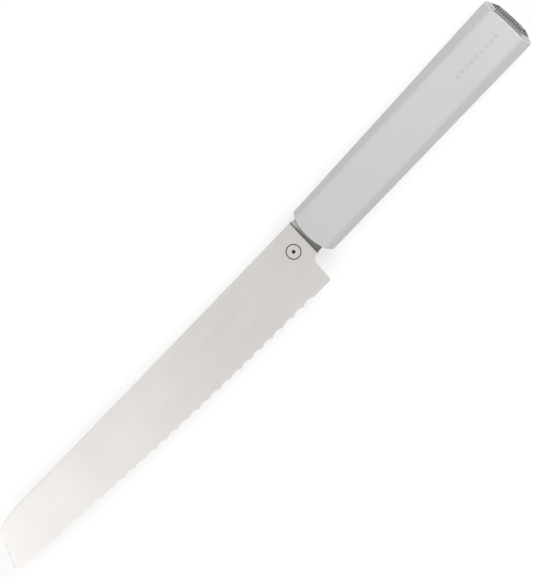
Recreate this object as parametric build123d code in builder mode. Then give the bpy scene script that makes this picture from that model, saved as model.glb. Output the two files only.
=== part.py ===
from build123d import *
import math
import os

# A bread knife that lies on the flat of its handle. The tip points to -X, the butt to +X, the
# cutting edge to -Y, and the left face of the blade is up. The origin is the bottom centre of
# the whole knife. The sizes below are taken from the front plane and the axis of the handle.

# Blade
blade_reach = 202.9             # handle front to the tip
blade_thickness = 2.0
spine_at_neck = 10.0             # spine above the axis at the neck
spine_at_crown = 12.55           # and where it starts to curve down
crown_from_tip = 20.5
nose_from_tip = 9.2             # corner between the crown and the front edge
nose_height = 10.4
nose_radius = 4.0
front_bulge = 0.5               # sagitta of the front edge
tip_drop = 7.35                 # tip below the axis
heel_from_handle = 8.65
heel_drop = 20.5
heel_radius = 0.5
heel_root_from_handle = 7.5     # top of the heel's back edge
heel_root_radius = 3.3
edge_bulge = 2.4                # sagitta of the cutting edge
spine_round = 0.25

# Grind, on the right face only
grind_angle = 20.0
edge_land = 0.1                 # thickness left at the plain edge
scallop_pitch = 6.6
scallop_depth = 0.95            # from the points to the bottoms, in the left face
point_setback = 0.08            # points of the scallops behind the plain edge
heel_plain = 10.9
tip_plain = 11.5

# Neck and tang
neck_top = 9.6
neck_bottom = 7.9
neck_at_top = 2.2               # length of the neck in front of the handle
neck_at_bottom = 3.25
neck_front_thickness = 3.0
neck_foot_thickness = 9.0
neck_round = 0.8
neck_step = 0.2                 # how far the blade stands out past the neck
groove_width = 0.45
groove_depth = 0.35
groove_bevel = 0.4              # width and drop of the bevel in front of it
groove_bevel_drop = 0.23
tang_root_width = 11.0
tang_end_width = 6.4
tang_setback = 43.0             # end of the tang to the rim of the end cap
spigot_width = 14.0
spigot_thickness = 5.6
spigot_round = 1.2

# Handle
handle_length = 132.5           # middle of the sleeve's front to the middle of the end cap
handle_front_width = 24.1
handle_butt_width = 28.0
handle_thickness = 20.0
handle_flat = 18.8              # width of the two broad flats, corner to corner
handle_side_flat = 4.6          # height of the two narrow flats at the butt
handle_flat_radius = 2.4        # rounds the corners of the broad flats
handle_side_radius = 5.0        # and of the narrow ones
inner_radius = 0.5              # least radius of the corners inside the handle
handle_lean = 10.0              # angle that the narrow flats' corners stay within, from the axis
sleeve_wall = 1.6
sleeve_front_wall = 4.2
front_bow_radius = 28.0         # the front is bowed, seen from the left
front_rim_radius = 0.7
seat_depth = 2.2                # seat of the neck's foot, from the middle of the bow
butt_bow_radius = 100.0         # the butt is bowed too
butt_rim_radius = 1.2

# Row of dimples pressed in the left flat
dimple_count = 9
dimple_pitch = 3.2
dimple_radius = 0.9
dimple_depth = 0.12
dimples_from_butt = 20.8

# Inside the handle
pin_radius = 1.5
pin_length = 12.0
first_pin = 22.0                # from the handle's front
second_pin_setback = 30.0       # from the end of the tang
rod_radius = 4.0
rod_setback = 5.6               # end of the rod to the cap's seal
rod_overlap = 10.0
rod_tap_depth = 15.0
collar_seal_thickness = 0.4
cap_seal_thickness = 0.8

# Butt
cap_thickness = 6.6
cap_proud = 0.6
cap_bevel = 0.4
cap_rim = 1.5
recess_depth = 1.9
inlay_thickness = 1.1
screw_radius = 2.0
screw_length = 20.0
screw_head_radius = 3.5
screw_head_height = 2.4
socket_across_flats = 3.0
socket_depth = 1.5

# Clearances, each on one side
sleeve_fit = 0.1
cap_fit = 0.08
inlay_fit = 0.05
tang_fit = 0.05
spigot_fit = 0.1
seat_fit = 0.1
pin_fit = 0.02
rod_fit = 0.05
thread_fit = 0.02
screw_passage = 0.3
head_fit = 0.25
end_gap = 0.5                   # past the blind end of a pin, the tang, the rod or the screw
overrun = 3.0                   # how far a cutting tool runs past the piece

# The cutting edge is an arc from the heel to the tip
tip = Vector(-blade_reach, -tip_drop)
heel = Vector(-heel_from_handle, -heel_drop)
edge_chord = tip - heel
edge_radius = edge_chord.length**2 / (8 * edge_bulge) + edge_bulge / 2
towards_spine = Vector(edge_chord.Y, -edge_chord.X).normalized()
edge_centre = (heel + tip) * 0.5 + towards_spine * (edge_radius - edge_bulge)
edge_length = edge_radius * 2 * math.asin(edge_chord.length / (2 * edge_radius))
scallop_count = int((edge_length - heel_plain - tip_plain) / scallop_pitch)

# The front face of the neck leans a little, and the blade's shoulders lean with it
neck_low = Vector(-neck_at_bottom, -neck_bottom)
neck_high = Vector(-neck_at_top, neck_top)
neck_line = (neck_high - neck_low).normalized()

# Stations along the handle
sleeve_length = handle_length - cap_proud
cap_front = handle_length - cap_thickness
core_end = cap_front - cap_seal_thickness
recess_floor = handle_length - recess_depth
screw_seat = recess_floor - screw_head_height
tang_length = handle_length - tang_setback
second_pin = tang_length - second_pin_setback
rod_start = tang_length - rod_overlap
rod_end = core_end - rod_setback


def on_neck_line(height):
    # Point of the neck's front line at a height above the axis
    return neck_low + neck_line * ((height - neck_low.Y) / neck_line.Y)


def arc_middle(start, end, bulge):
    # Middle of an arc that bulges to the right of its chord
    chord = end - start
    return (start + end) * 0.5 + Vector(chord.Y, -chord.X).normalized() * bulge


def edge_direction(distance):
    # Outward direction of the cutting edge, at a distance along it from the heel
    heel_angle = math.atan2(heel.Y - edge_centre.Y, heel.X - edge_centre.X)
    angle = heel_angle - distance / edge_radius
    return Vector(math.cos(angle), math.sin(angle))


# Outline of the blade and of its tang, seen from the left
crown = Vector(-blade_reach + crown_from_tip, spine_at_crown)
nose = Vector(-blade_reach + nose_from_tip, nose_height)
heel_root = Vector(-heel_root_from_handle, -neck_bottom - neck_step)
with BuildSketch() as blade_outline:
    with BuildLine():
        spine = Line(on_neck_line(spine_at_neck), crown)
        TangentArc(crown, nose, tangent=spine % 1)
        ThreePointArc(nose, arc_middle(nose, tip, front_bulge), tip)
        ThreePointArc(tip, arc_middle(tip, heel, edge_bulge), heel)
        Polyline(heel, heel_root, on_neck_line(heel_root.Y), on_neck_line(spine_at_neck))
    make_face()
    fillet(vertices().sort_by_distance(nose)[0], radius=nose_radius)
    fillet(vertices().sort_by_distance(heel_root)[0], radius=heel_root_radius)
    fillet(vertices().sort_by_distance(heel)[0], radius=heel_radius)

with BuildSketch() as tang_outline:
    with BuildLine():
        Polyline(
            (-heel_from_handle, tang_root_width / 2),
            (0, tang_root_width / 2),
            (tang_length, tang_end_width / 2),
            (tang_length, -tang_end_width / 2),
            (0, -tang_root_width / 2),
            (-heel_from_handle, -tang_root_width / 2),
            close=True,
        )
    make_face()

# Foot of the neck, where it meets the handle
with BuildSketch() as neck_foot:
    with Locations(((neck_top - neck_bottom) / 2, 0)):
        RectangleRounded(neck_top + neck_bottom, neck_foot_thickness, neck_round)

# The knife's own plane: the front plane and axis of the handle, halfway through its thickness
outline_box = blade_outline.sketch.bounding_box()
highest = max(outline_box.max.Y, handle_butt_width / 2)
knife = Plane(
    (
        -(outline_box.min.X + handle_length) / 2,
        -(outline_box.min.Y + highest) / 2,
        handle_thickness / 2,
    )
)
up = Vector(0, 0, 1)


def across(station):
    # Plane across the handle, with its own x along +Y and its own y up
    return Plane(knife.from_local_coords(Vector(station, 0)), x_dir=(0, 1, 0), z_dir=(1, 0, 0))


def half_width(station):
    # Half the handle's width, which grows evenly towards the butt
    taper = (handle_butt_width - handle_front_width) * station / handle_length
    return (handle_front_width + taper) / 2


def handle_form(start, end, inset):
    # Stretch of the handle's tapered eight-sided form, inset from its outer surface
    height = handle_thickness / 2 - inset
    facet_drop = (handle_thickness - handle_side_flat) / 2
    facet_angle = math.atan2(facet_drop, (handle_butt_width - handle_flat) / 2)
    flat = handle_flat / 2 - inset * math.tan(facet_angle / 2)
    peak = flat + height / math.tan(facet_angle)
    with BuildPart() as form:
        with BuildSketch(knife.offset(-height)):
            with BuildLine():
                Polyline(
                    (start, half_width(start) - inset),
                    (end, half_width(end) - inset),
                    (end, inset - half_width(end)),
                    (start, inset - half_width(start)),
                    close=True,
                )
            make_face()
        extrude(amount=2 * height)
        with BuildSketch(across(start)):
            with BuildLine():
                Polyline((flat, height), (peak, 0), (flat, -height))
                mirror(about=Plane.YZ)
                Line((-flat, height), (flat, height))
                Line((-flat, -height), (flat, -height))
            make_face()
        extrude(amount=end - start, mode=Mode.INTERSECT)
        flat_corners = edges().filter_by(Axis.X)
        side_corners = edges().filter_by(Axis.X, tolerance=handle_lean) - flat_corners
        fillet(side_corners, radius=max(handle_side_radius - inset, inner_radius))
        fillet(edges().filter_by(Axis.X), radius=max(handle_flat_radius - inset, inner_radius))
    return form.part


def bar(start, end, radius, mode=Mode.ADD):
    # Round bar or bore on the handle's axis
    with Locations(across((start + end) / 2).location):
        Cylinder(radius, end - start, mode=mode)


def cut_tang_slot():
    # Slot for the tang, with its clearance
    with BuildSketch(knife.offset(-blade_thickness / 2 - tang_fit), mode=Mode.PRIVATE) as slot:
        add(tang_outline.sketch)
        offset(amount=tang_fit, kind=Kind.INTERSECTION)
    extrude(slot.sketch, amount=blade_thickness + 2 * tang_fit, mode=Mode.SUBTRACT)


def pins(radius, length, mode=Mode.ADD):
    # The two dowel pins, or their holes
    for station in (first_pin, second_pin):
        with Locations(knife.from_local_coords(Vector(station, 0))):
            Cylinder(radius, length, mode=mode)


os.makedirs("parts", exist_ok=True)

# Blade, with its tang. The scallops are hollow-ground into the right face
slope = math.radians(grind_angle)
grind_depth = (blade_thickness - edge_land) / math.tan(slope)
gullet_sagitta = scallop_depth * math.sin(slope)
gullet_radius = ((scallop_pitch / 2) ** 2 + gullet_sagitta**2) / (2 * gullet_sagitta)
gullet_length = blade_thickness / math.sin(slope)


def gullet_location(number):
    # Middle of the grinding cylinder of one scallop
    outward = edge_direction(heel_plain + (number + 0.5) * scallop_pitch)
    along = outward * -math.cos(slope) - up * math.sin(slope)
    away = outward * math.sin(slope) - up * math.cos(slope)
    bottom_radius = edge_radius - point_setback - scallop_depth
    bottom = edge_centre + outward * bottom_radius + up * (blade_thickness / 2)
    middle = bottom + away * gullet_radius + along * (gullet_length / 2)
    return Plane(knife.from_local_coords(middle), x_dir=outward.cross(up), z_dir=along).location


with BuildPart() as blade:
    with BuildSketch(knife.offset(-blade_thickness / 2)):
        add(blade_outline.sketch)
        add(tang_outline.sketch)
    extrude(amount=blade_thickness)
    spine_corners = edges().filter_by(Plane.XY).filter_by(
        lambda e: e.center().Y > knife.origin.Y and e.center().X < knife.origin.X - heel_from_handle
    )
    fillet(spine_corners, radius=spine_round)

    # Plain bevel along the whole edge
    tool_start = edge_direction(edge_length + overrun)
    tool_origin = knife.from_local_coords(edge_centre + tool_start * edge_radius)
    with BuildSketch(Plane(tool_origin, x_dir=tool_start, z_dir=tool_start.cross(up))):
        rise = overrun * math.tan(slope)
        with BuildLine():
            Polyline(
                (overrun, blade_thickness / 2 - edge_land + rise),
                (-grind_depth - overrun, -blade_thickness / 2 - rise),
                (overrun, -blade_thickness / 2 - rise),
                close=True,
            )
        make_face()
    revolve(
        axis=Axis(knife.from_local_coords(edge_centre), (0, 0, 1)),
        revolution_arc=math.degrees((edge_length + 2 * overrun) / edge_radius),
        mode=Mode.SUBTRACT,
    )

    # Scallops
    with Locations([gullet_location(number) for number in range(scallop_count)]):
        Cylinder(gullet_radius, gullet_length + 2 * overrun, mode=Mode.SUBTRACT)

    # Bevelled groove in each face, in front of the neck
    groove_origin = knife.from_local_coords(on_neck_line(-neck_bottom - overrun))
    with BuildSketch(Plane(groove_origin, x_dir=neck_line.cross(up), z_dir=neck_line)):
        floor = blade_thickness / 2 - groove_depth
        with BuildLine():
            Polyline(
                (-groove_width - groove_bevel, blade_thickness / 2),
                (-groove_width, blade_thickness / 2 - groove_bevel_drop),
                (-groove_width, floor),
                (0, floor),
                (0, blade_thickness / 2 + overrun),
                (-groove_width - groove_bevel, blade_thickness / 2 + overrun),
                close=True,
            )
        make_face()
        mirror(about=Plane.XZ)
    extrude(amount=neck_top + neck_bottom + 2 * overrun, mode=Mode.SUBTRACT)

    pins(pin_radius + pin_fit, blade_thickness + overrun, mode=Mode.SUBTRACT)
blade.part.label = "blade"
export_step(blade.part, "parts/blade.step")

# Neck collar, which flares from the blade to the handle, with a spigot at its back
neck_middle = (neck_low + neck_high) * 0.5
front_face = Plane(
    knife.from_local_coords(neck_middle), x_dir=neck_line, z_dir=neck_line.cross(up)
)
collar_rear = seat_depth - collar_seal_thickness
with BuildPart() as neck_collar:
    with BuildSketch(front_face):
        RectangleRounded((neck_high - neck_low).length, neck_front_thickness, neck_round)
    with BuildSketch(across(0)):
        add(neck_foot.sketch)
    loft(ruled=True)
    with BuildSketch(across(0)):
        add(neck_foot.sketch)
    extrude(amount=collar_rear)
    with BuildSketch(across(collar_rear)):
        RectangleRounded(spigot_width, spigot_thickness, spigot_round)
    extrude(amount=sleeve_front_wall - spigot_fit - collar_rear)
    cut_tang_slot()
neck_collar.part.label = "neck_collar"
export_step(neck_collar.part, "parts/neck_collar.step")

# Gasket between the collar and its seat in the handle
with BuildPart() as collar_seal:
    with BuildSketch(across(collar_rear)):
        add(neck_foot.sketch)
        offset(amount=-spigot_fit, mode=Mode.REPLACE)
        RectangleRounded(
            spigot_width + 2 * spigot_fit,
            spigot_thickness + 2 * spigot_fit,
            spigot_round + spigot_fit,
            mode=Mode.SUBTRACT,
        )
    extrude(amount=collar_seal_thickness)
collar_seal.part.label = "collar_seal"
export_step(collar_seal.part, "parts/collar_seal.step")

# Handle sleeve, open at the butt, with a bowed front that has a seat for the collar
sleeve_form = handle_form(0, sleeve_length, 0)
sleeve_hollow = handle_form(sleeve_front_wall, handle_length, sleeve_wall)
with BuildPart() as handle_sleeve:
    add(sleeve_form)
    with BuildSketch(knife.offset(-handle_thickness / 2)):
        with Locations((front_bow_radius, 0)):
            Circle(front_bow_radius)
        with Locations((front_bow_radius + handle_length / 2, 0)):
            Rectangle(handle_length, 2 * front_bow_radius)
        with Locations((sleeve_length - butt_bow_radius, 0)):
            Circle(butt_bow_radius, mode=Mode.INTERSECT)
    extrude(amount=handle_thickness, mode=Mode.INTERSECT)
    fillet(faces().sort_by(Axis.X)[0].edges(), radius=front_rim_radius)
    fillet(faces().sort_by(Axis.X)[-1].edges(), radius=butt_rim_radius)
    add(sleeve_hollow, mode=Mode.SUBTRACT)
    with BuildSketch(across(0)):
        RectangleRounded(
            spigot_width + 2 * spigot_fit,
            spigot_thickness + 2 * spigot_fit,
            spigot_round + spigot_fit,
        )
    extrude(amount=sleeve_front_wall, mode=Mode.SUBTRACT)
    with BuildSketch(across(0)):
        add(neck_foot.sketch)
        offset(amount=seat_fit)
    extrude(amount=seat_depth, mode=Mode.SUBTRACT)
    with BuildSketch(knife.offset(handle_thickness / 2)):
        with Locations((handle_length - dimples_from_butt, 0)):
            with GridLocations(dimple_pitch, 0, dimple_count, 1):
                Circle(dimple_radius)
    extrude(amount=-dimple_depth, mode=Mode.SUBTRACT)
handle_sleeve.part.label = "handle_sleeve"
export_step(handle_sleeve.part, "parts/handle_sleeve.step")


core_form = handle_form(sleeve_front_wall, core_end, sleeve_wall + sleeve_fit)


def core_blank():
    # Both halves of the core in one, with the pockets for what they hold
    add(core_form)
    cut_tang_slot()
    bar(rod_start - rod_fit, rod_end + end_gap, rod_radius + rod_fit, mode=Mode.SUBTRACT)
    bar(rod_end, core_end, screw_radius + screw_passage, mode=Mode.SUBTRACT)
    pins(pin_radius + pin_fit, pin_length + 2 * end_gap, mode=Mode.SUBTRACT)


with BuildPart() as core_left:
    core_blank()
    split(bisect_by=knife, keep=Keep.TOP)
core_left.part.label = "core_left"
export_step(core_left.part, "parts/core_left.step")

with BuildPart() as core_right:
    core_blank()
    split(bisect_by=knife, keep=Keep.BOTTOM)
core_right.part.label = "core_right"
export_step(core_right.part, "parts/core_right.step")

with BuildPart() as tang_pins:
    pins(pin_radius, pin_length)
tang_pins.part.label = "tang_pins"
export_step(tang_pins.part, "parts/tang_pins.step")

# Draw rod, slotted over the end of the tang and tapped for the cap's screw
with BuildPart() as draw_rod:
    bar(rod_start, rod_end, rod_radius)
    cut_tang_slot()
    bar(rod_end - rod_tap_depth, rod_end, screw_radius + thread_fit, mode=Mode.SUBTRACT)
draw_rod.part.label = "draw_rod"
export_step(draw_rod.part, "parts/draw_rod.step")

seal_form = handle_form(core_end, cap_front, sleeve_wall + cap_fit)
with BuildPart() as cap_seal:
    add(seal_form)
    bar(core_end, cap_front, screw_radius + screw_passage, mode=Mode.SUBTRACT)
cap_seal.part.label = "cap_seal"
export_step(cap_seal.part, "parts/cap_seal.step")

# End cap, with a bevelled rim around a recess, and a counterbore for the screw
cap_form = handle_form(cap_front, handle_length, sleeve_wall + cap_fit)
recess_form = handle_form(recess_floor, handle_length, sleeve_wall + cap_fit + cap_rim)
with BuildPart() as end_cap:
    add(cap_form)
    with BuildSketch(knife.offset(-handle_thickness / 2)):
        with Locations((handle_length - butt_bow_radius, 0)):
            Circle(butt_bow_radius)
    extrude(amount=handle_thickness, mode=Mode.INTERSECT)
    chamfer(faces().sort_by(Axis.X)[-1].edges(), length=cap_bevel)
    add(recess_form, mode=Mode.SUBTRACT)
    bar(screw_seat, recess_floor, screw_head_radius + head_fit, mode=Mode.SUBTRACT)
    bar(cap_front, screw_seat, screw_radius + screw_passage, mode=Mode.SUBTRACT)
end_cap.part.label = "end_cap"
export_step(end_cap.part, "parts/end_cap.step")

with BuildPart() as cap_screw:
    bar(screw_seat, recess_floor, screw_head_radius)
    bar(screw_seat - screw_length, screw_seat, screw_radius)
    with BuildSketch(across(recess_floor)):
        RegularPolygon(socket_across_flats / 2, 6, major_radius=False)
    extrude(amount=-socket_depth, mode=Mode.SUBTRACT)
cap_screw.part.label = "cap_screw"
export_step(cap_screw.part, "parts/cap_screw.step")

inlay_inset = sleeve_wall + cap_fit + cap_rim + inlay_fit
inlay_form = handle_form(recess_floor, recess_floor + inlay_thickness, inlay_inset)
with BuildPart() as cap_inlay:
    add(inlay_form)
cap_inlay.part.label = "cap_inlay"
export_step(cap_inlay.part, "parts/cap_inlay.step")
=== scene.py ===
import bpy
import bmesh
import math
from mathutils import Matrix, Vector


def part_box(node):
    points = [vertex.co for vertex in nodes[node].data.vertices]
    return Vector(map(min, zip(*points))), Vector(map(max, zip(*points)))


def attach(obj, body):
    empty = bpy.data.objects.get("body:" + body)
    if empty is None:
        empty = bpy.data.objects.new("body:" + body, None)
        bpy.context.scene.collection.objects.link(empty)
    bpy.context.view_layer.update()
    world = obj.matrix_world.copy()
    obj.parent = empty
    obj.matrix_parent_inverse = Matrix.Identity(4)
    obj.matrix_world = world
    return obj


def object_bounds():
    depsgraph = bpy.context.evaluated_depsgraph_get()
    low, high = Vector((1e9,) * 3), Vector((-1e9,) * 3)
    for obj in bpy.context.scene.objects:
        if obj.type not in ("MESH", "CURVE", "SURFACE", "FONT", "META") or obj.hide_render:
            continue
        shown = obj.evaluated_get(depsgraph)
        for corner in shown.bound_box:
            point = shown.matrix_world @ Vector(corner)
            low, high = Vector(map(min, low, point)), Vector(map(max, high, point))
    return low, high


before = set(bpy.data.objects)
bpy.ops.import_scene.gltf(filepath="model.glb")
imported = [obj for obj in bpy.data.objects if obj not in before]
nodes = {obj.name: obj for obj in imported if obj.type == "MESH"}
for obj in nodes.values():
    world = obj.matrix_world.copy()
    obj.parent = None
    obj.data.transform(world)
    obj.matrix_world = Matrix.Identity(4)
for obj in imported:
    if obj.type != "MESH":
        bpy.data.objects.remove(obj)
cadLow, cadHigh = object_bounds()

print("frame loaded, overall", [round(v, 4) for v in cadHigh - cadLow])


# small helpers for node materials

fineNoise = {"detail": 3.0, "rough": 0.6}
softNoise = {"detail": 2.0, "rough": 0.5}
noiseMiddle = (0.3, 0.7)        # most of a noise lies between these
speckleShade = 0.85             # the darker part of a speckle, as a share of its colour


def newMaterial(name):
    material = bpy.data.materials.new(name)
    material.use_nodes = True
    tree = material.node_tree
    return material, tree, tree.nodes["Principled BSDF"]


def objectPattern(tree, scale):
    # object coordinates, stretched for a pattern
    place = tree.nodes.new("ShaderNodeTexCoord")
    mapping = tree.nodes.new("ShaderNodeMapping")
    mapping.inputs["Scale"].default_value = scale
    tree.links.new(place.outputs["Object"], mapping.inputs["Vector"])
    return mapping.outputs["Vector"]


def noise(tree, vector, detail, rough):
    texture = tree.nodes.new("ShaderNodeTexNoise")
    texture.inputs["Scale"].default_value = 1.0
    texture.inputs["Detail"].default_value = detail
    texture.inputs["Roughness"].default_value = rough
    tree.links.new(vector, texture.inputs["Vector"])
    return texture.outputs["Fac"]


def spread(tree, value, low, high, fromLow=0.0, fromHigh=1.0):
    ranged = tree.nodes.new("ShaderNodeMapRange")
    ranged.inputs["From Min"].default_value = fromLow
    ranged.inputs["From Max"].default_value = fromHigh
    ranged.inputs["To Min"].default_value = low
    ranged.inputs["To Max"].default_value = high
    tree.links.new(value, ranged.inputs["Value"])
    return ranged.outputs["Result"]


def mixColours(tree, factor, first, second):
    # from a colour output or a fixed colour to a fixed colour
    mix = tree.nodes.new("ShaderNodeMix")
    mix.data_type = "RGBA"
    if isinstance(first, tuple):
        mix.inputs["A"].default_value = (*first, 1.0)
    else:
        tree.links.new(first, mix.inputs["A"])
    mix.inputs["B"].default_value = (*second, 1.0)
    tree.links.new(factor, mix.inputs["Factor"])
    return mix.outputs["Result"]


def axisOf(tree, axis):
    # one object coordinate
    place = tree.nodes.new("ShaderNodeTexCoord")
    split = tree.nodes.new("ShaderNodeSeparateXYZ")
    tree.links.new(place.outputs["Object"], split.inputs["Vector"])
    return split.outputs[axis]


def compute(tree, operation, first, second):
    step = tree.nodes.new("ShaderNodeMath")
    step.operation = operation
    tree.links.new(first, step.inputs[0])
    if isinstance(second, float):
        step.inputs[1].default_value = second
    else:
        tree.links.new(second, step.inputs[1])
    return step.outputs["Value"]


def above(tree, value, limit):
    return compute(tree, "GREATER_THAN", value, limit)


def below(tree, value, limit):
    return compute(tree, "LESS_THAN", value, limit)


def both(tree, first, second):
    return compute(tree, "MULTIPLY", first, second)


def addBump(tree, height, distance, normalTo):
    bump = tree.nodes.new("ShaderNodeBump")
    bump.inputs["Distance"].default_value = distance
    tree.links.new(height, bump.inputs["Height"])
    tree.links.new(bump.outputs["Normal"], normalTo)


def dress(name, material):
    # give a CAD node its finish
    data = nodes[name].data
    data.materials.clear()
    data.materials.append(material)


# blade: satin stainless, rubbed along its length, with a painted shadow in the groove by the handle

bladeLow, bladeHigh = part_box("blade")

bladeSteel = {
    "light": (0.84, 0.812, 0.785),
    "dark": (0.78, 0.753, 0.728),
    "roughness": (0.27, 0.37),
    "lineScale": (9.0, 6500.0, 6500.0),
    "lineDepth": 0.000002,
    "cloudScale": (30.0, 45.0, 45.0),
    "groove": (0.03, 0.03, 0.03),
    "grooveReach": 0.0055,      # the painted groove shadow lies this close to the handle
    "grooveShade": 0.00026,     # and is painted near black below this depth, as the shade in the gap
}


def makeBladeSteel(settings):
    material, tree, shader = newMaterial("bladeSteel")
    lines = noise(tree, objectPattern(tree, settings["lineScale"]), **fineNoise)
    cloud = noise(tree, objectPattern(tree, settings["cloudScale"]), **softNoise)
    patches = spread(tree, cloud, 0.0, 1.0, *noiseMiddle)
    colour = mixColours(tree, patches, settings["dark"], settings["light"])
    # painted shadow: the groove floor by the handle is coloured near black to stand for the shade in the gap
    grooveShadowMask = both(
        tree,
        above(tree, axisOf(tree, "X"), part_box("handle_sleeve")[0].x - settings["grooveReach"]),
        both(
            tree,
            above(tree, axisOf(tree, "Z"), bladeLow.z + settings["grooveShade"]),
            below(tree, axisOf(tree, "Z"), bladeHigh.z - settings["grooveShade"]),
        ),
    )
    tree.links.new(mixColours(tree, grooveShadowMask, colour, settings["groove"]), shader.inputs["Base Color"])
    shader.inputs["Metallic"].default_value = 1.0
    tree.links.new(spread(tree, lines, *settings["roughness"], *noiseMiddle), shader.inputs["Roughness"])
    addBump(tree, lines, settings["lineDepth"], shader.inputs["Normal"])
    return material


# neck: dark grey satin steel, with painted light making its spine side paler

neckSteel = {
    "light": (0.26, 0.26, 0.255),
    "dark": (0.15, 0.148, 0.145),
    "paintedSpineLight": (0.42, 0.42, 0.42),
    "spineReach": 0.0055,       # length of the painted lighter band at the spine side
    "roughness": (0.3, 0.42),
    "lineScale": (3500.0, 160.0, 3500.0),
    "lineDepth": 0.000006,
}


def makeNeckSteel(settings):
    material, tree, shader = newMaterial("neckSteel")
    lines = noise(tree, objectPattern(tree, settings["lineScale"]), **fineNoise)
    colour = mixColours(tree, lines, settings["dark"], settings["light"])
    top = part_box("neck_collar")[1].y
    # painted light: the colour turns paler towards the spine side, where more light falls
    spineLightRamp = spread(tree, axisOf(tree, "Y"), 0.0, 1.0, top - settings["spineReach"], top)
    tree.links.new(mixColours(tree, spineLightRamp, colour, settings["paintedSpineLight"]), shader.inputs["Base Color"])
    shader.inputs["Metallic"].default_value = 1.0
    tree.links.new(spread(tree, lines, *settings["roughness"], *noiseMiddle), shader.inputs["Roughness"])
    addBump(tree, lines, settings["lineDepth"], shader.inputs["Normal"])
    return material


# sleeve: matte light grey coat on aluminium, with painted shade in the dimples

sleeveCoat = {
    "light": (0.605, 0.607, 0.612),
    "dark": (0.575, 0.577, 0.582),
    "roughness": (0.48, 0.6),
    "gloss": 0.25,
    "paintedDimpleShade": (0.535, 0.537, 0.542),
    "dimpleDepth": 0.00012,
    "dimpleReach": 0.0015,      # the dimples lie this close to the axis
    "grain": 2600.0,
    "grainDepth": 0.000012,
    "cloudScale": (40.0, 60.0, 60.0),
}


def makeSleeveCoat(settings):
    material, tree, shader = newMaterial("sleeveCoat")
    grain = noise(tree, objectPattern(tree, (settings["grain"],) * 3), **fineNoise)
    cloud = noise(tree, objectPattern(tree, settings["cloudScale"]), **softNoise)
    colour = mixColours(tree, cloud, settings["dark"], settings["light"])
    sleeveLow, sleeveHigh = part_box("handle_sleeve")
    offAxis = compute(tree, "SUBTRACT", axisOf(tree, "Y"), (sleeveLow.y + sleeveHigh.y) / 2)
    # a dimple's floor lies between half its depth and twice its depth under the top, and is given painted
    # shade
    dimpleShadeMask = both(
        tree,
        both(
            tree,
            above(tree, axisOf(tree, "Z"), sleeveHigh.z - 2 * settings["dimpleDepth"]),
            below(tree, axisOf(tree, "Z"), sleeveHigh.z - settings["dimpleDepth"] / 2),
        ),
        below(tree, compute(tree, "ABSOLUTE", offAxis, 0.0), settings["dimpleReach"]),
    )
    # painted shade: the dimple floors are coloured darker than the coat
    tree.links.new(mixColours(tree, dimpleShadeMask, colour, settings["paintedDimpleShade"]), shader.inputs["Base Color"])
    tree.links.new(spread(tree, grain, *settings["roughness"], *noiseMiddle), shader.inputs["Roughness"])
    shader.inputs["Specular IOR Level"].default_value = settings["gloss"]
    addBump(tree, grain, settings["grainDepth"], shader.inputs["Normal"])
    return material


# end cap: polished steel

capSteel = {"colour": (0.5, 0.5, 0.5), "roughness": (0.06, 0.16), "swirl": 900.0}


def makeCapSteel(settings):
    material, tree, shader = newMaterial("capSteel")
    swirl = noise(tree, objectPattern(tree, (settings["swirl"],) * 3), **softNoise)
    shader.inputs["Base Color"].default_value = (*settings["colour"], 1.0)
    shader.inputs["Metallic"].default_value = 1.0
    tree.links.new(spread(tree, swirl, *settings["roughness"], *noiseMiddle), shader.inputs["Roughness"])
    return material


# inlay in the cap: dark steel

inlaySteel = {"light": (0.2, 0.2, 0.2), "dark": (0.09, 0.09, 0.09), "roughness": 0.32, "cloud": 500.0}


def makeInlaySteel(settings):
    material, tree, shader = newMaterial("inlaySteel")
    cloud = noise(tree, objectPattern(tree, (settings["cloud"],) * 3), **softNoise)
    tree.links.new(mixColours(tree, cloud, settings["dark"], settings["light"]), shader.inputs["Base Color"])
    shader.inputs["Metallic"].default_value = 1.0
    shader.inputs["Roughness"].default_value = settings["roughness"]
    return material


# pieces inside the handle: plain steel, moulded plastic and rubber

plainFinishes = {
    "plainSteel": {
        "colour": (0.55, 0.55, 0.54), "roughness": 0.3, "metallic": 1.0,
        "grain": 900.0, "grainDepth": 0.000004,
        "wornBy": ("tang_pins", "draw_rod", "cap_screw"),
    },
    "corePlastic": {
        "colour": (0.05, 0.05, 0.055), "roughness": 0.6, "metallic": 0.0,
        "grain": 1500.0, "grainDepth": 0.00001,
        "wornBy": ("core_left", "core_right"),
    },
    "sealRubber": {
        "colour": (0.02, 0.02, 0.02), "roughness": 0.7, "metallic": 0.0,
        "grain": 2500.0, "grainDepth": 0.00001,
        "wornBy": ("collar_seal", "cap_seal"),
    },
}


def makePlain(name, settings):
    material, tree, shader = newMaterial(name)
    speckle = noise(tree, objectPattern(tree, (settings["grain"],) * 3), **fineNoise)
    darker = tuple(speckleShade * part for part in settings["colour"])
    tree.links.new(mixColours(tree, speckle, darker, settings["colour"]), shader.inputs["Base Color"])
    shader.inputs["Metallic"].default_value = settings["metallic"]
    shader.inputs["Roughness"].default_value = settings["roughness"]
    addBump(tree, speckle, settings["grainDepth"], shader.inputs["Normal"])
    return material


dress("blade", makeBladeSteel(bladeSteel))
dress("neck_collar", makeNeckSteel(neckSteel))
dress("handle_sleeve", makeSleeveCoat(sleeveCoat))
dress("end_cap", makeCapSteel(capSteel))
dress("cap_inlay", makeInlaySteel(inlaySteel))
for finish, values in plainFinishes.items():
    material = makePlain(finish, values)
    for name in values["wornBy"]:
        dress(name, material)
print("materials given to", len(nodes), "nodes")


def addPiece(name, bm, material):
    data = bpy.data.meshes.new(name)
    bmesh.ops.recalc_face_normals(bm, faces=bm.faces)
    bm.to_mesh(data)
    bm.free()
    piece = bpy.data.objects.new(name, data)
    bpy.context.scene.collection.objects.link(piece)
    data.materials.append(material)
    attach(piece, "root")


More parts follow.
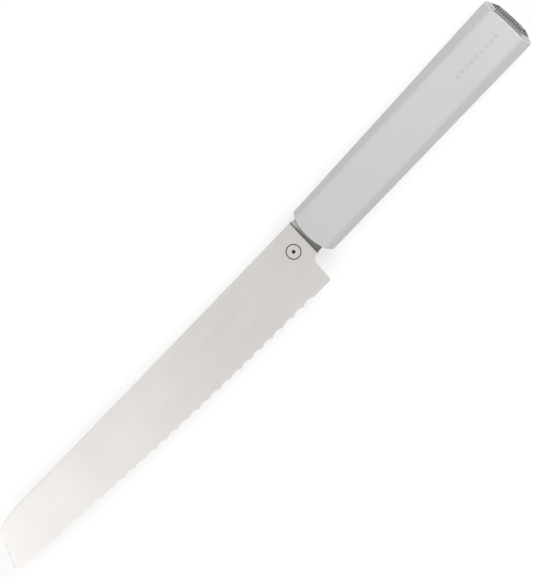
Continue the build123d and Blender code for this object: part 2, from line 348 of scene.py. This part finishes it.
# generic mark etched on the blade: a ring around a dot

bladeMark = {
    "fromHandle": 0.011,
    "ring": 0.0031,
    "line": 0.00045,
    "dot": 0.0009,
    "height": 0.00002,
    "ringSteps": 72,
    "dotSides": 24,
    "ink": {
        "colour": (0.02, 0.02, 0.02), "roughness": 0.5, "metallic": 0.0,
        "grain": 4000.0, "grainDepth": 0.000002,
    },
}


def makeBladeMark(settings):
    handleLow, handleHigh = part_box("handle_sleeve")
    centre = Vector(
        (handleLow.x - settings["fromHandle"], (handleLow.y + handleHigh.y) / 2, bladeHigh.z)
    )
    depth = settings["height"]
    bm = bmesh.new()
    corners = [
        (settings["ring"] + side, 0.0, rise)
        for side, rise in ((0.0, -depth), (settings["line"], -depth), (settings["line"], depth), (0.0, depth))
    ]
    ring = [bm.verts.new(corner) for corner in corners]
    profile = [bm.edges.new(pair) for pair in zip(ring, ring[1:] + ring[:1])]
    bmesh.ops.spin(
        bm, geom=ring + profile, cent=(0, 0, 0), axis=(0, 0, 1), dvec=(0, 0, 0),
        angle=math.tau, steps=settings["ringSteps"], use_merge=True, use_duplicate=False,
    )
    bmesh.ops.create_cone(
        bm, cap_ends=True, segments=settings["dotSides"],
        radius1=settings["dot"], radius2=settings["dot"], depth=2 * depth,
    )
    bmesh.ops.translate(bm, verts=bm.verts, vec=centre)
    addPiece("bladeMark", bm, makePlain("bladeMarkInk", settings["ink"]))


# knurl on the inlay: rows of small pyramids

inlayKnurl = {
    "pitch": 0.00125,
    "height": 0.00028,
    "sink": 0.0004,             # how far each foot goes into the plate
    "foot": 0.68,               # radius at the foot, as a share of the pitch
    "point": 0.08,              # radius at the point, as a share of the pitch
    "margin": 0.0004,
    "cornerCut": 0.62,
}


def makeInlayKnurl(settings):
    low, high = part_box("cap_inlay")
    middle = (low + high) / 2
    halfWidth = (high.y - low.y) / 2 - settings["margin"]
    halfHeight = (high.z - low.z) / 2 - settings["margin"]
    pitch = settings["pitch"]
    columns = int(halfWidth / pitch)
    rows = int(halfHeight / pitch)
    centreX = high.x + (settings["height"] - settings["sink"]) / 2
    turned = Matrix.Rotation(math.pi / 2, 4, "Y") @ Matrix.Rotation(math.pi / 4, 4, "Z")
    bm = bmesh.new()
    for column in range(-columns, columns + 1):
        for row in range(-rows, rows + 1):
            across, up = column * pitch, row * pitch
            nearness = abs(across) / halfWidth + settings["cornerCut"] * abs(up) / halfHeight
            if nearness + pitch / 2 / halfWidth > 1.0 or abs(up) + pitch / 2 > halfHeight:
                continue
            place = Matrix.Translation((centreX, middle.y + across, middle.z + up))
            bmesh.ops.create_cone(
                bm, cap_ends=True, segments=4,
                radius1=pitch * settings["foot"], radius2=pitch * settings["point"],
                depth=settings["height"] + settings["sink"], matrix=place @ turned,
            )
    addPiece("inlayKnurl", bm, nodes["cap_inlay"].data.materials[0])


makeBladeMark(bladeMark)
makeInlayKnurl(inlayKnurl)
print("mark and knurl made")


# floor, lights and camera

stageSettings = {
    "floor": (0.45, 0.45, 0.45),
    "floorGlow": 0.58,          # the paper is lit from below too
    "floorSize": 6.0,
    "floorRoughness": 0.9,
    "zenith": 0.66,
    "horizon": 0.26,
    "zenithFrom": 0.9,          # the sky is brightest above this share of its height
    "tipBox": {"place": (-0.64, 0.0, 0.6), "size": 0.75, "power": 2.7},
    "buttBox": {"place": (0.40, 0.0, 0.35), "size": 0.25, "power": 1.0},
}


def makeFloor(settings):
    bm = bmesh.new()
    bmesh.ops.create_grid(bm, x_segments=1, y_segments=1, size=settings["floorSize"] / 2)
    data = bpy.data.meshes.new("floor")
    bm.to_mesh(data)
    bm.free()
    floor = bpy.data.objects.new("floor", data)
    bpy.context.scene.collection.objects.link(floor)
    floor.location.z = cadLow.z
    material, tree, shader = newMaterial("floorPaper")
    shader.inputs["Base Color"].default_value = (*settings["floor"], 1.0)
    shader.inputs["Roughness"].default_value = settings["floorRoughness"]
    shader.inputs["Emission Color"].default_value = (1.0, 1.0, 1.0, 1.0)
    shader.inputs["Emission Strength"].default_value = settings["floorGlow"]
    data.materials.append(material)


def makeSky(settings):
    # brightest overhead, darker towards the horizon
    world = bpy.data.worlds.new("studio")
    world.use_nodes = True
    tree = world.node_tree
    direction = tree.nodes.new("ShaderNodeTexCoord")
    split = tree.nodes.new("ShaderNodeSeparateXYZ")
    tree.links.new(direction.outputs["Generated"], split.inputs["Vector"])
    height = split.outputs["Z"]
    strength = spread(tree, height, settings["horizon"], settings["zenith"], 0.0, settings["zenithFrom"])
    tree.links.new(strength, tree.nodes["Background"].inputs["Strength"])
    tree.nodes["Background"].inputs["Color"].default_value = (1.0, 1.0, 1.0, 1.0)
    bpy.context.scene.world = world


def makeSoftbox(name, settings):
    light = bpy.data.lights.new(name, "AREA")
    light.size = settings["size"]
    light.energy = settings["power"]
    lamp = bpy.data.objects.new(name, light)
    bpy.context.scene.collection.objects.link(lamp)
    lamp.location = settings["place"]
    lamp.rotation_euler = (-lamp.location).to_track_quat("-Z", "Y").to_euler()


cameraSettings = {
    "tilt": 11.2,           # degrees from straight above, over towards the butt
    "turn": 46.9,           # angle of the handle above the picture's horizontal
    "frameHeight": 0.2564,
    "lens": 2000.0,
    "sensor": 36.0,
    "clipEnd": 40.0,
    "aim": (0.0035, 0.0009, 0.010),
}


def makeCamera(settings):
    tilt = math.radians(settings["tilt"])
    turn = math.radians(settings["turn"])
    back = Vector((math.sin(tilt), 0.0, math.cos(tilt)))
    alongHandle = Vector((math.cos(tilt), 0.0, -math.sin(tilt)))
    towardsSpine = Vector((0.0, 1.0, 0.0))
    right = alongHandle * math.cos(turn) - towardsSpine * math.sin(turn)
    up = alongHandle * math.sin(turn) + towardsSpine * math.cos(turn)
    data = bpy.data.cameras.new("camera")
    data.lens = settings["lens"]
    data.sensor_width = settings["sensor"]
    camera = bpy.data.objects.new("camera", data)
    bpy.context.scene.collection.objects.link(camera)
    distance = settings["frameHeight"] * settings["lens"] / settings["sensor"]
    camera.matrix_world = Matrix.Translation(Vector(settings["aim"]) + back * distance) @ Matrix(
        (right, up, back)
    ).transposed().to_4x4()
    data.clip_end = settings["clipEnd"]
    bpy.context.scene.camera = camera


makeFloor(stageSettings)
makeSky(stageSettings)
for box in ("tipBox", "buttBox"):
    makeSoftbox(box, stageSettings[box])
makeCamera(cameraSettings)
bpy.context.scene.view_settings.view_transform = "Standard"
print("stage set")
